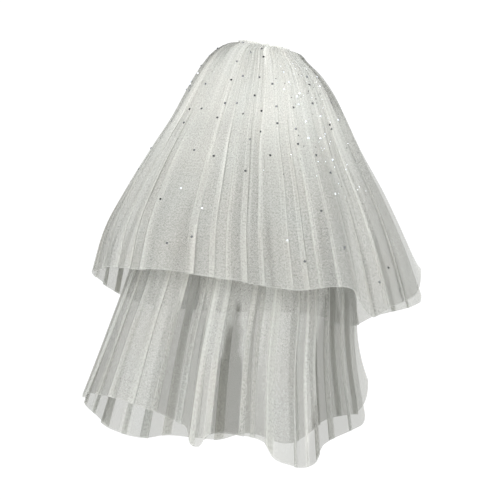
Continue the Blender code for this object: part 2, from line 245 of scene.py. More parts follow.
# Stretches of thin net beside the heading, where few gathers lie, and one of dense net. Each row is
# the angle of the middle, the half width in degrees, the share where the stretch ends, and how much
# of the density is left. The sides fade over so many degrees, and the end over a share.
PATCHES = (
    (-88, 48, 0.05, 0.45), (-88, 26, 0.40, 0.55), (-32, 25, 0.38, 0.76), (2, 3.2, 0.045, 2.4),
    (80, 24, 0.24, 0.28), (-175, 18, 0.14, 0.35), (-245, 15, 0.2, 0.35),
)
PATCH_SOFT = 3
PATCH_FADE = 0.14

# Where the creases start to show along the cloth, and over what share they grow
CREASE_START = 0.06
CREASE_GROWTH = 0.6
# Faint lines below the heading: how many columns have one, and between which values its brightness
# and the place of its end lie, and how softly it ends
LINE_SHARE = 0.16
LINE_BRIGHT = (0.15, 0.55)
LINE_ENDS = (0.25, 1.1)
LINE_FADE = 0.25
# Width of the bright cut edge along the hem, and how bright it is
HEM_LINE = 0.0028
HEM_CREASE = 0.6
# How much gathered cloth, beside the hem's, hides what one flat layer does
PLAIN_CROWD = 2
# How much denser the net looks where the cloth lies three layers deep, over how many degrees that
# begins, and how far from a fold's middle its lap is looked for
LAP_DENSER = {"upper": 0.12, "lower": 0.4}
LAP_SOFT = 0.7
LAP_NEAR = 12
# The least that a face hides there, and the same where the net is thinnest
LAP_COVER = 0.32
LAP_COVER_THIN = 0.12
# How much the stretches between the folds differ
SWATH_RANGE = {"upper": (0.9, 1.1), "lower": (0.8, 1.2)}

# The net's cells, worked out from three crossed waves: slope and level of the hole, the thread round
# it, and how much thinner the net is in the hole
HOLE_SLOPE = 0.22
HOLE_LEVEL = 0.34
THREAD_LEVEL = 1.22
HOLE_DEPTH = 0.62
# Streaks along the cloth and grain: scale, how far they change the net, and from which level
STREAK_SCALE = (95, 5, 1)
STREAK_RANGE = (0.3, 0.85)
GRAIN_SCALE = 260
GRAIN_RANGE = (1.2, 0.4)
# How much a full crease adds to what the net hides
CREASE_BRIGHT = 0.22
# How the thread's colour drifts from place to place, and how wide the places are
THREAD_COOL = (0.97, 1.0, 0.99)
THREAD_WARM = (1.0, 0.98, 0.95)
DRIFT_SCALE = 9
# Share of the thread's light that comes through from the other side, and how little less blue passes between
# the threads, where painted shade dims what shows through the holes
THREAD_THROUGH = 0.45
GAP_BLUE = 0.985
# How dark the binding's darker patches are beside its colour, and how dark the painted shade makes a stone in
# full shade, beside the crystal's colour
TAPE_DARK = 0.9
STONE_PAINTED_SHADE = 0.03

# Rhinestones at the back, as angle and share. The first are given painted shade, and the second keep the
# crystal's full colour as stones that catch the light.
PAINTED_SHADE_STONES = (
    (-37, 0.03), (-14, 0.09), (-3, 0.06), (0, 0.11), (-26, 0.14), (-17, 0.20), (-3, 0.20), (-26, 0.22),
    (-48, 0.23), (-67, 0.24), (-6, 0.28), (6, 0.23), (41, 0.16), (39, 0.19), (-26, 0.31), (-17, 0.31),
    (-10, 0.35), (-1, 0.34), (8, 0.32), (20, 0.32), (37, 0.28), (57, 0.26), (-39, 0.33), (-53, 0.32),
    (-28, 0.37), (-52, 0.38), (-68, 0.36), (8, 0.39), (21, 0.40), (46, 0.35), (49, 0.37), (2, 0.42),
    (-6, 0.45), (19, 0.46), (-34, 0.50), (30, 0.50), (5, 0.51), (-20, 0.53), (37, 0.54), (-7, 0.58),
    (-45, 0.71), (-11, 0.74), (-67, 0.87), (-27, 0.86), (-34, 0.89), (24, 0.72), (31, 0.85),
    (47, 0.62), (14, 0.90), (52, 0.87), (45, 0.91), (59, 0.96),
)
BRIGHT_STONES = (
    (17, 0.17), (19, 0.21), (15, 0.24), (24, 0.27), (27, 0.25), (29, 0.37), (42, 0.32), (54, 0.15),
    (51, 0.19), (24, 0.30), (39, 0.39), (37, 0.41), (48, 0.45), (49, 0.52), (39, 0.48), (46, 0.59),
    (29, 0.44), (54, 0.34), (-20, 0.74), (-34, 0.66), (33, 0.63), (12, 0.82),
)

# How bright a stone with painted shade may be, beside the crystal's full colour
PAINTED_SHADE_TONE = (0.0, 0.2)
# The other stones are strewn over the left side and the front: how many stones there are in all, the
# range of the strewn ones' angle and share, and how they thin out towards the hem
STONE_COUNT = 190
STREWN_ANGLE = (-258, -75)
STREWN_SHARE = (0.03, 0.95)
STREWN_THIN = 1.2
# Fine glitter between the stones: how many grains, their angle's middle, spread and limits, their shares
# along the cloth, their size beside a stone's, and how many of them keep the crystal's full colour, while the
# others get full painted shade
GLITTER_COUNT = 90
GLITTER_ANGLE = (36, 13)
GLITTER_LIMITS = (-70, 66)
GLITTER_SHARE = (0.12, 0.62)
GLITTER_SIZE = 0.42
GLITTER_UNSHADED = 0.6
# A stone's shape beside its width: depth, radius of its flat top, and bevel
STONE_DEPTH = 0.28
STONE_TOP = 0.28
STONE_BEVEL = 0.06
# How far a stone tilts, how far it sits off the cloth, and how many rows of places the cloth has
STONE_TILT = 0.12
STONE_OFF = 0.0003
STONE_ROWS = 120

# The stitches at the heading: how many, the thread's radius, the length of its straight part beside
# the stitch's, its bevel, and how far the stitch sits outside and above the heading
STITCH_COUNT = 30
STITCH_RADIUS = 0.0003
STITCH_STRAIGHT = 0.8
STITCH_BEVEL = 0.00012
STITCH_OUT = 0.0011
STITCH_UP = 0.0012

# What the camera looks at, the width of one of the photo's pixels there, and the photo's width in
# pixels
VIEW_MIDDLE = (-0.0282, 0, -0.3925)
PIXEL = 0.00188
PHOTO_WIDTH = 500
SENSOR_WIDTH = 36
VIEW_END = 50
# Most faces that a ray passes on its way through the net
NET_BOUNCES = 96
# The paper: width and depth of the floor, height of the wall behind it, and how brightly it glows
FLOOR_SIZE = (16, 12)
WALL_HEIGHT = 8
PAPER_GREY = 0.1
PAPER_GLOW = 0.94
ROOM_COLOUR = (0.95, 0.97, 1.0)
ROOM_STRENGTH = 1.27
# The lights: name, place, target, size and colour
LIGHTS = (
    ("key", (-0.5, -1.8, 0.4), (0, 0, -0.2), 1.0, (1.0, 0.995, 0.98)),
    ("fill", (-0.9, -2.6, -0.9), (0, 0, -0.5), 2.2, (1.0, 0.99, 0.97)),
    ("back", (0.9, 2.5, 0.4), (0, 0, -0.4), 2.0, (1.0, 0.99, 0.98)),
)


class TulleSettings(bpy.types.PropertyGroup):
    """Sizes and colours of the tulle."""

    thread: FloatVectorProperty(
        name="Thread", description="Colour of the thread", subtype="COLOR", size=3,
        min=0, max=1, default=(0.91, 0.905, 0.885),
    )
    cover: FloatProperty(
        name="Cover", description="Share of the view that one flat layer hides",
        subtype="FACTOR", min=0, max=1, default=0.31,
    )
    under: FloatProperty(
        name="Layers under the short tier",
        description="How much denser the short tier looks than the long one",
        min=1, max=4, default=1.4,
    )
    # Painted shade: the holes between the threads pass only this share of the light, so what shows through
    # the net looks dimmer.
    gap: FloatProperty(
        name="Gap", description="Share of the light that passes between the threads of one face",
        subtype="FACTOR", min=0, max=1, default=0.74,
    )
    wall: FloatProperty(
        name="Thickness", description="Thickness of the cloth", unit="LENGTH",
        min=0.0001, max=0.001, default=0.0003,
    )
    mesh: FloatProperty(
        name="Net cell", description="Width of one cell of the net", unit="LENGTH",
        min=0.0005, max=0.01, default=0.0016,
    )
    gather: FloatProperty(
        name="Gather height", description="Height of the fine gathers below the heading",
        unit="LENGTH", min=0, max=0.003, default=0.0008,
    )
    rows: IntProperty(
        name="Rows", description="Rows of points along each tier", min=20, max=120, default=50,
    )


class RhinestoneSettings(bpy.types.PropertyGroup):
    """Sizes and colours of the rhinestones."""

    width: FloatProperty(
        name="Width", description="Width of a rhinestone", unit="LENGTH",
        min=0.001, max=0.01, default=0.0052,
    )
    crystal: FloatVectorProperty(
        name="Crystal", description="Colour of the crystal", subtype="COLOR", size=3,
        min=0, max=1, default=(0.93, 0.96, 1.0),
    )


class HeadingSettings(bpy.types.PropertyGroup):
    """Sizes and colours of the comb, its binding and the stitches."""

    tape: FloatVectorProperty(
        name="Binding", description="Colour of the binding", subtype="COLOR", size=3,
        min=0, max=1, default=(0.88, 0.88, 0.85),
    )
    plastic: FloatVectorProperty(
        name="Comb", description="Colour of the comb", subtype="COLOR", size=3,
        min=0, max=1, default=(0.86, 0.87, 0.86),
    )
    stitch: FloatProperty(
        name="Stitch", description="Length of a stitch", unit="LENGTH",
        min=0.001, max=0.01, default=0.0036,
    )


class StageSettings(bpy.types.PropertyGroup):
    """Floor, lights and camera."""

    elevation: FloatProperty(
        name="Camera elevation", description="Angle of the camera above the veil's middle",
        subtype="ANGLE", min=-1.5, max=1.5, default=math.radians(-8),
    )
    distance: FloatProperty(
        name="Camera distance", description="Distance of the camera", unit="LENGTH",
        min=0.5, max=10, default=2.6,
    )
    key: FloatProperty(
        name="Key light", description="Power of the light in front", unit="POWER", min=0, default=24,
    )
    fill: FloatProperty(
        name="Fill light", description="Power of the low wide light", unit="POWER", min=0, default=33,
    )
    back: FloatProperty(
        name="Back light", description="Power of the light behind", unit="POWER", min=0, default=30,
    )
    floor: FloatProperty(
        name="Floor drop", description="Floor below the comb", unit="LENGTH", min=1, default=2.4,
    )


def tiers():
    """Both tiers' shapes by the names of their nodes."""
    return {
        "upper_tier": {
            "sections": UPPER_SECTIONS, "hem": UPPER_HEM, "folds": UPPER_FOLDS,
            "edges": UPPER_EDGES, "frill": True, "density": "upper",
            "wedges": UPPER_WEDGES, "seed": 3,
        },
        "lower_tier": {
            "sections": LOWER_SECTIONS, "hem": LOWER_HEM, "folds": LOWER_FOLDS,
            "edges": LOWER_EDGES, "frill": False, "density": "lower",
            "wedges": LOWER_WEDGES, "seed": 11,
        },
    }


def ease(value):
    """0 below 0, 1 above 1, and a soft step between."""
    value = np.clip(value, 0.0, 1.0)
    return value * value * (3 - 2 * value)


def read(table, column, at):
    """The values of a column at places along the table's first column, on a smooth curve through the rows."""
    rows = np.array(table, dtype=float)
    first = rows[:, 0]
    at = np.asarray(at, dtype=float)
    row = np.searchsorted(first[1:-1], at, side="left")
    before = np.maximum(row - 1, 0)
    after = np.minimum(row + 2, len(rows) - 1)
    low, high = row, row + 1
    span = first[high] - first[low]
    part = np.clip((at - first[low]) / span, 0.0, 1.0)
    value = rows[:, column]
    slope_low = (value[high] - value[before]) / (first[high] - first[before]) * span
    slope_high = (value[after] - value[low]) / (first[after] - first[low]) * span
    return (
        (1 + 2 * part) * (1 - part) ** 2 * value[low]
        + part * (1 - part) ** 2 * slope_low
        + part**2 * (3 - 2 * part) * value[high]
        - part**2 * (1 - part) * slope_high
    )


def edge_columns(edge, corner):
    """The columns from a side edge to the corner of the fold next to it."""
    made = []
    for part in EDGE_PLACES:
        rise = float(ease(part))
        plain = edge + (corner[0] - edge) * part
        made.append((plain, corner[1] * rise, corner[2] * rise, EDGE_CREASE * (part == 0)))
    return made


def columns_of(folds, edges):
    """The cloth's columns, from edge to edge: plain angle, push of the lap, swing and crease."""
    start, end = edges[0][0], edges[1][0]
    middles = [fold[0] for fold in folds]
    bounds = [2 * start - middles[0], *middles, 2 * end - middles[-1]]
    # A fold's corners lie a quarter of its room to either side, and its lap pushes them past each other
    corners = []
    for place, (middle, reach, lap) in enumerate(folds):
        room = min(middle - bounds[place], bounds[place + 2] - middle)
        side = math.copysign(CREASE_SWING, lap)
        push = room / 4 + abs(lap) / 2
        before = (middle - room / 4, push, reach * side)
        after = (middle + room / 4, -push, -reach * side)
        corners.append((before, after, reach))

    made = edge_columns(start, corners[0][0])
    for place, (before, after, reach) in enumerate(corners):
        for part, crease in LAP_CREASES:
            made.append((*[one + (other - one) * part for one, other in zip(before, after)], crease))
        if place == len(corners) - 1:
            break
        following, _, next_reach = corners[place + 1]
        level = (after[2] + following[2]) / 2
        bulge = 0
        if abs(level) > LEAST_SWING:
            bulge = math.copysign(BULGE * (reach + next_reach) / 2, level)
        wide = (following[0] + following[1]) - (after[0] + after[1])
        thin = UNDER_EDGE / wide
        places = dict(SWATH_CREASES)
        for lap in (abs(folds[place][2]) / wide, 1 - abs(folds[place + 1][2]) / wide):
            places = {part: crease for part, crease in places.items() if abs(part - lap) > 2 * thin}
            places |= {lap - thin: 0.0, lap: UNDER_BRIGHT, lap + thin: 0.0}
        for part, crease in sorted(places.items()):
            swing = after[2] + (following[2] - after[2]) * part + bulge * 4 * part * (1 - part)
            plain = after[0] + (following[0] - after[0]) * part
            made.append((plain, after[1] + (following[1] - after[1]) * part, swing, crease))
    made += reversed(edge_columns(end, corners[-1][1]))
    return np.array(made)


def layered(tier, columns, shares):
    """Where the cloth lies three layers deep, from 0 to 1, as a grid."""
    plain, push = columns[:, 0], columns[:, 1]
    pushed = plain + push * ease(shares / LAP_FULL)[:, None]
    deep = np.zeros_like(pushed)
    for middle, _, lap in tier["folds"]:
        place = int(np.argmin(np.abs(plain - middle)))
        first = place - LAP_MIDDLE
        last = first + len(LAP_CREASES)
        right, left = pushed[:, first][:, None], pushed[:, last][:, None]
        inside = np.minimum(right - pushed, pushed - left)
        near = np.abs(plain - middle) < LAP_NEAR
        deep = np.maximum(deep, ease(inside / LAP_SOFT + 0.5) * near * (right > left))
    return deep


def corner_rise(tier, angle):
    """How far the rounded lower corners lift the hem near the sheet's side edges."""
    half_width = tier["sections"][-1][SECTION_COLUMNS.index("half_width")]
    (left, left_radius), (right, right_radius) = tier["edges"]
    near_left = np.abs(angle - left) < np.abs(angle - right)
    radius = np.where(near_left, left_radius, right_radius)
    edge = np.where(near_left, left, right)
    inside = np.clip(radius - np.radians(np.abs(angle - edge)) * half_width, 0, None)
    return radius - np.sqrt(np.clip(radius**2 - inside**2, 0, None))


def bell_points(tier, plain, pushed, share):
    """Points of the smooth bell, without folds. The hem goes part of the way with the laps."""
    ring = {name: read(tier["sections"], place, share) for place, name in enumerate(SECTION_COLUMNS)}
    angle = np.radians(pushed)
    behind = np.cos(angle) > 0
    depth = np.where(behind, ring["back_depth"], ring["front_depth"])
    drop = np.where(behind, ring["back_drop"], ring["front_drop"])
    x = ring["centre"] + ring["half_width"] * np.sin(angle)
    y = -depth * np.cos(angle)
    fall = ring["side_drop"] * np.sin(angle) ** 2 + drop * np.cos(angle) ** 2
    last = dict(zip(SECTION_COLUMNS, tier["sections"][-1]))
    last_drop = np.where(behind, last["back_drop"], last["front_drop"])
    last_fall = last["side_drop"] * np.sin(angle) ** 2 + last_drop * np.cos(angle) ** 2
    hem = read(tier["hem"], HEM_COLUMNS.index("drop"), plain + (pushed - plain) * HEM_FOLLOW)
    fall = fall + (hem - last_fall) * share**HEM_POWER - corner_rise(tier, plain) * share**CORNER_POWER
    fall = fall + LEAN * x * (1 - ease(share / LEAN_END))
    return np.stack([x, y, -fall], axis=-1)


def outward_of(tier, plain, pushed, share):
    """The bell's outward direction."""
    right = bell_points(tier, plain, pushed + ANGLE_STEP, share)
    left = bell_points(tier, plain, pushed - ANGLE_STEP, share)
    below = bell_points(tier, plain, pushed, np.minimum(share + SHARE_STEP, 1))
    above = bell_points(tier, plain, pushed, np.maximum(share - SHARE_STEP, 0))
    outward = np.cross(below - above, right - left)
    return outward / np.linalg.norm(outward, axis=-1, keepdims=True)


def cloth_points(tier, columns, shares, gather):
    """The middle of the cloth as a grid, rows by columns, with its folds, fine gathers and soft creases."""
    share, plain = np.meshgrid(shares, columns[:, 0], indexing="ij")
    push, swing = columns[:, 1][None, :], columns[:, 2][None, :]
    pushed = plain + push * ease(share / LAP_FULL)
    outward = outward_of(tier, plain, pushed, share)
    reach = REACH_AT_TOP + (1 - REACH_AT_TOP) * share
    height = swing * reach * ease(share / HEADING_END)

    # Fine gathers run down from the heading and die out, and soft creases drift along the folds
    chance = np.random.default_rng(tier["seed"])
    count = len(columns)
    drift = np.cumsum(chance.normal(0, GATHER_DRIFT, count))
    ridge = np.sin(np.arange(count) * math.pi / 2 + drift)
    ends = GATHER_ENDS[0] + GATHER_ENDS[1] * chance.random(count)
    ends = np.convolve(ends, np.ones(GATHER_EVEN) / GATHER_EVEN, mode="same")
    fade = ease(share / GATHER_FULL) * (1 - ease(share / ends[None, :]))
    height = height + gather * ridge[None, :] * fade
    phases = chance.random(len(RIPPLES)) * 2 * math.pi
    for (across, along, size), phase in zip(RIPPLES, phases):
        ripple = np.sin(np.radians(plain) * across + share * along + phase)
        height = height + size * ripple * ease((share - RIPPLE_START) / RIPPLE_GROWTH)
    return bell_points(tier, plain, pushed, share) + outward * height[..., None]


def frill_points(tier, columns):
    """Rows of the small frill above the gathers, from its top edge down to the heading."""
    ring = dict(zip(SECTION_COLUMNS, tier["sections"][0]))
    angle = np.radians(columns[:, 0])
    chance = np.random.default_rng(tier["seed"] + 1)
    count = len(columns)
    wave = np.sin(angle * FRILL_WAVES + np.cumsum(chance.normal(0, FRILL_DRIFT, count)))
    depth = FRILL_WAVE * wave * (FRILL_SIDES + (1 - FRILL_SIDES) * np.cos(angle) ** 2)
    height = read(FRILL, FRILL_COLUMNS.index("height"), columns[:, 0])
    height = height * (1 + FRILL_RISE * np.sin(angle * FRILL_RISE_WAVES))
    rows = []
    for row in range(FRILL_ROWS):
        part = 1 - row / FRILL_ROWS
        flare = (FRILL_FLARE + depth) * part**FRILL_POWER
        x = (ring["half_width"] + flare) * np.sin(angle)
        y = -(ring["back_depth"] + flare) * np.cos(angle)
        rows.append(np.stack([x, y, height * part - LEAN * x], axis=-1))
    return np.array(rows)


def sheet_object(name, points, flat, crease, cover, wall):
    """A grid of points as one sheet with a cloth map in metres, its creases and how dense it looks."""
    rows, count = points.shape[:2]
    mesh = bpy.data.meshes.new(name)
    faces = []
    for row in range(rows - 1):
        for place in range(count - 1):
            corner = row * count + place
            faces.append((corner, corner + count, corner + count + 1, corner + 1))
    mesh.from_pydata(points.reshape(-1, 3).tolist(), [], faces)
    order = np.empty(len(mesh.loops), dtype=np.int32)
    mesh.loops.foreach_get("vertex_index", order)
    layer = mesh.uv_layers.new(name="cloth")
    layer.data.foreach_set("uv", flat.reshape(-1, 2)[order].ravel())
    for label, values in (("crease", crease), ("cover", cover)):
        stored = mesh.attributes.new(label, "FLOAT", "POINT")
        stored.data.foreach_set("value", values.ravel().astype(np.float32))
    mesh.shade_smooth()
    made = bpy.data.objects.new(name, mesh)
    bpy.context.collection.objects.link(made)
    shell = made.modifiers.new("wall", "SOLIDIFY")
    shell.thickness = wall
    shell.offset = 0
    bpy.ops.object.select_all(action="DESELECT")
    made.select_set(True)
    bpy.context.view_layer.objects.active = made
    bpy.ops.object.modifier_apply(modifier="wall")
    return made


def crease_lines(columns, shares, chance):
    """How sharply the cloth is creased, as a grid: at the folds, along faint lines and at the hem."""
    crease = np.repeat(columns[:, 3][None, :], len(shares), axis=0)
    crease = crease * ease((shares - CREASE_START) / CREASE_GROWTH)[:, None]
    count = len(columns)
    lines = (chance.random(count) < LINE_SHARE) * chance.uniform(*LINE_BRIGHT, count)
    ends = chance.uniform(*LINE_ENDS, count)
    fade = ease((shares[:, None] - ends[None, :]) / LINE_FADE + 1)
    crease = np.maximum(crease, lines[None, :] * (1 - fade))
    crease[-1] = np.maximum(crease[-1], HEM_CREASE)
    return crease


def net_cover(tier, columns, shares, crowd, chance, settings):
    """How much of the view a face hides, as a grid: the more cloth is gathered into a row, the more."""
    kind, angle, share = tier["density"], columns[:, 0], shares[:, None]
    density = read(DENSITY, DENSITY_COLUMNS.index(kind), angle)
    density = density * (settings.under if kind == "upper" else 1)
    swath = np.searchsorted([fold[0] for fold in tier["folds"]], angle)
    density = density * chance.uniform(*SWATH_RANGE[kind], len(tier["folds"]) + 1)[swath]
    deep = layered(tier, columns, shares)
    density = density[None, :] * (1 + LAP_DENSER[kind] * deep)
    thin = np.ones_like(density)
    for middle, half_width, first, left in tier["wedges"]:
        reached = half_width * (share - first) / (1 - first)
        inside = ease((reached - np.abs(angle - middle)) / WEDGE_SOFT)
        thin = thin * (1 - (1 - left) * inside)
    for middle, half_width, last, left in PATCHES:
        inside = ease((half_width - np.abs(angle - middle)) / PATCH_SOFT)
        density = density * (1 - (1 - left) * inside * (1 - ease((share - last) / PATCH_FADE)))
    cover = 1 - (1 - settings.cover) ** (crowd[:, None] / PLAIN_CROWD * density * thin)
    return np.maximum(cover, deep * (LAP_COVER_THIN + (LAP_COVER - LAP_COVER_THIN) * thin))


def make_tier(node, settings):
    tier = tiers()[node]
    columns = columns_of(tier["folds"], tier["edges"])
    hem_row = 1 - HEM_LINE / tier["hem"][0][1]
    shares = np.append(np.linspace(0, 1, settings.rows) ** ROW_POWER, hem_row)
    shares.sort()
    points = cloth_points(tier, columns, shares, settings.gather)
    widths = np.linalg.norm(np.diff(points, axis=1), axis=-1)
    lengths = np.linalg.norm(np.diff(points, axis=0), axis=-1)
    hem_width = widths[-1].sum()
    length = lengths.sum(axis=0).mean()
    across = np.concatenate([[0], np.cumsum(widths[-1])])
    across = np.repeat(across[None, :], len(shares), axis=0)
    along = np.repeat(shares[:, None] * length, len(columns), axis=1)
    chance = np.random.default_rng(tier["seed"] + 2)
    crease = crease_lines(columns, shares, chance)
    cover = net_cover(tier, columns, shares, hem_width / widths.sum(axis=1), chance, settings)

    if tier["frill"]:
        points = np.concatenate([frill_points(tier, columns), points])
        across = np.concatenate([across[:FRILL_ROWS], across])
        heights = read(FRILL, FRILL_COLUMNS.index("height"), columns[:, 0])
        above = np.arange(FRILL_ROWS, 0, -1) / FRILL_ROWS
        along = np.concatenate([-np.outer(above, heights), along])
        crease = np.concatenate([np.zeros_like(crease[:FRILL_ROWS]), crease])
        crease[0] = FRILL_CREASE
        cover = np.concatenate([cover[:FRILL_ROWS] * FRILL_COVER, cover])
    flat = np.stack([across, along], axis=-1)
    made = sheet_object(f"{node}_cloth", points, flat, crease, cover, settings.wall)
    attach(made, "root")
    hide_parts(f"{node}_front", f"{node}_back")
    return made


def shader_nodes(name):
    """A new material, its node tree and its output node."""
    made = bpy.data.materials.new(name)
    made.use_nodes = True
    tree = made.node_tree
    tree.nodes.clear()
    return made, tree, tree.nodes.new("ShaderNodeOutputMaterial")


def add_node(tree, kind, inputs=None, **options):
    """A new shader node with its options. Its inputs are sockets or values, by name or place."""
    node = tree.nodes.new(f"ShaderNode{kind}")
    for option, value in options.items():
        setattr(node, option, value)
    for name, value in (inputs or {}).items():
        if isinstance(value, bpy.types.NodeSocket):
            tree.links.new(value, node.inputs[name])
        else:
            node.inputs[name].default_value = value
    return node


def math_node(tree, operation, *values, clamp=False):
    """The result of a Math node whose inputs are sockets or numbers."""
    values = dict(enumerate(values))
    return add_node(tree, "Math", values, operation=operation, use_clamp=clamp).outputs[0]


def noise(tree, place, scale, detail=2):
    """How strong a noise pattern is at a place, from 0 to 1."""
    inputs = {"Vector": place, "Scale": scale, "Detail": detail}
    return add_node(tree, "TexNoise", inputs).outputs["Fac"]


def mixed_colour(tree, factor, first, second):
    """A colour between two others."""
    inputs = {"Factor": factor, 6: (*first, 1), 7: (*second, 1)}
    return add_node(tree, "Mix", inputs, data_type="RGBA").outputs[2]


def tulle_material(settings):
    """Net of fine thread, denser along creases and where it is gathered, with painted shade between the
    threads: the holes dim what shows through them.
    """
    made, tree, output = shader_nodes("tulle_net")
    cloth = add_node(tree, "UVMap", uv_map="cloth").outputs["UV"]
    pitch = 2 * math.pi / (settings.mesh * math.sqrt(3) / 2)
    waves = []
    for turn in (0, 60, 120):
        across = (math.cos(math.radians(turn)) * pitch, math.sin(math.radians(turn)) * pitch, 0)
        dot = add_node(tree, "VectorMath", {0: cloth, 1: across}, operation="DOT_PRODUCT")
        waves.append(math_node(tree, "COSINE", dot.outputs["Value"]))
    total = math_node(tree, "ADD", math_node(tree, "ADD", waves[0], waves[1]), waves[2])
    hole = math_node(tree, "MULTIPLY_ADD", total, HOLE_SLOPE, HOLE_LEVEL, clamp=True)
    thread = math_node(tree, "SUBTRACT", THREAD_LEVEL, math_node(tree, "MULTIPLY", hole, HOLE_DEPTH))

    stretched = add_node(tree, "Mapping", {"Scale": STREAK_SCALE, "Vector": cloth}).outputs["Vector"]
    streak = math_node(tree, "MULTIPLY_ADD", noise(tree, stretched, 1, detail=3), *STREAK_RANGE)
    grain = math_node(tree, "MULTIPLY_ADD", noise(tree, cloth, GRAIN_SCALE), *GRAIN_RANGE)
    seen = add_node(tree, "Attribute", attribute_name="cover").outputs["Fac"]
    for change in (thread, streak, grain):
        seen = math_node(tree, "MULTIPLY", seen, change)
    crease = add_node(tree, "Attribute", attribute_name="crease").outputs["Fac"]
    seen = math_node(tree, "MULTIPLY_ADD", crease, CREASE_BRIGHT, seen, clamp=True)

    cool = [value * share for value, share in zip(settings.thread, THREAD_COOL)]
    warm = [value * share for value, share in zip(settings.thread, THREAD_WARM)]
    colour = mixed_colour(tree, noise(tree, cloth, DRIFT_SCALE), cool, warm)
    facing = add_node(tree, "BsdfPrincipled", {
        "Base Color": colour, "Roughness": 0.75, "Sheen Weight": 0.1, "Sheen Roughness": 0.4,
    })
    through = add_node(tree, "BsdfTranslucent", {"Color": colour})
    threads = add_node(tree, "MixShader", {
        "Fac": THREAD_THROUGH, 1: facing.outputs["BSDF"], 2: through.outputs["BSDF"],
    })
    # Painted shade: the holes pass only part of the light, a little less of the blue, so what shows through
    # the net looks dimmer.
    gap = (settings.gap, settings.gap, settings.gap * GAP_BLUE, 1)
    clear = add_node(tree, "BsdfTransparent", {"Color": gap})
    net = add_node(tree, "MixShader", {
        "Fac": seen, 1: clear.outputs["BSDF"], 2: threads.outputs["Shader"],
    })
    tree.links.new(net.outputs["Shader"], output.inputs["Surface"])
    return made


def tape_material(settings):
    """Plain woven tape."""
    made, tree, output = shader_nodes("binding_tape")
    place = add_node(tree, "TexCoord").outputs["Object"]
    weave = add_node(tree, "TexWave", {"Vector": place, "Scale": 900, "Distortion": 1.5})
    bump = add_node(tree, "Bump", {
        "Strength": 0.4, "Distance": 0.0002, "Height": weave.outputs["Fac"],
    })
    dark = [value * TAPE_DARK for value in settings.tape]
    shader = add_node(tree, "BsdfPrincipled", {
        "Base Color": mixed_colour(tree, noise(tree, place, 140), dark, settings.tape),
        "Roughness": 0.8, "Sheen Weight": 0.3, "Normal": bump.outputs["Normal"],
    })
    tree.links.new(shader.outputs["BSDF"], output.inputs["Surface"])
    return made


def plastic_material(settings):
    """Smooth moulded plastic with faint flow marks."""
    made, tree, output = shader_nodes("comb_moulded")
    place = add_node(tree, "TexCoord").outputs["Object"]
    flow = noise(tree, place, 60, detail=3)
    shader = add_node(tree, "BsdfPrincipled", {
        "Base Color": (*settings.plastic, 1), "IOR": 1.49,
        "Roughness": math_node(tree, "MULTIPLY_ADD", flow, 0.14, 0.2),
    })
    tree.links.new(shader.outputs["BSDF"], output.inputs["Surface"])
    return made


def crystal_material(settings):
    """Cut crystal with a bright foil behind it. Stones that lie in shade get painted shade: their colour is
    darkened towards a nearly black copy of the crystal's.
    """
    made, tree, output = shader_nodes("rhinestone_crystal")
    # Painted shade: the stone attribute mixes each stone from a nearly black shaded copy up to the crystal's
    # full colour.
    painted_light = add_node(tree, "Attribute", attribute_name="stone").outputs["Fac"]
    dark = [value * STONE_PAINTED_SHADE for value in settings.crystal]
    shader = add_node(tree, "BsdfPrincipled", {
        "Base Color": mixed_colour(tree, painted_light, dark, settings.crystal),
        "Metallic": 0.85, "Roughness": 0.12, "Coat Weight": 0.25, "Coat Roughness": 0.02,
    })
    tree.links.new(shader.outputs["BSDF"], output.inputs["Surface"])
    return made


def bevelled_shape(thing, offset):
    """Bevels all edges of a new primitive, and takes its shape out of the scene."""
    bpy.ops.object.mode_set(mode="EDIT")
    bpy.ops.mesh.select_all(action="SELECT")
    bpy.ops.mesh.bevel(offset=offset, segments=1, affect="EDGES")
    bpy.ops.object.mode_set(mode="OBJECT")
    shape = bmesh.new()
    shape.from_mesh(thing.data)
    bpy.data.objects.remove(thing)
    return shape


def copies(name, shape, moves, finish):
    """One object with a copy of the shape at each place."""
    points, faces = [], []
    for move in moves:
        start = len(points)
        points += [tuple(move @ vertex.co) for vertex in shape.verts]
        faces += [[start + vertex.index for vertex in face.verts] for face in shape.faces]
    shape.free()
    mesh = bpy.data.meshes.new(name)
    mesh.from_pydata(points, [], faces)
    made = bpy.data.objects.new(name, mesh)
    bpy.context.collection.objects.link(made)
    mesh.materials.append(finish)
    return made


def rhinestone_places():
    """Where the stones sit on the upper tier, as angle, share, painted light (1 for the crystal's full
    colour, 0 for full painted shade) and size.
    """
    chance = np.random.default_rng(21)
    places = [(angle, share, chance.uniform(*PAINTED_SHADE_TONE), 1.0) for angle, share in PAINTED_SHADE_STONES]
    places += [(angle, share, 1.0, 1.0) for angle, share in BRIGHT_STONES]
    while len(places) < STONE_COUNT:
        angle, share = chance.uniform(*STREWN_ANGLE), chance.uniform(*STREWN_SHARE)
        if chance.random() < (1 - share) ** STREWN_THIN:
            # A strewn stone gets painted shade of a random depth, mostly deep.
            places.append((angle, share, float(chance.random() ** 3), 1.0))
    for _ in range(GLITTER_COUNT):
        angle, share = chance.normal(*GLITTER_ANGLE), chance.uniform(*GLITTER_SHARE)
        # A glitter grain keeps the crystal's full colour or gets full painted shade.
        painted_light = float(chance.random() < GLITTER_UNSHADED)
        places.append((float(np.clip(angle, *GLITTER_LIMITS)), share, painted_light, GLITTER_SIZE))
    return places


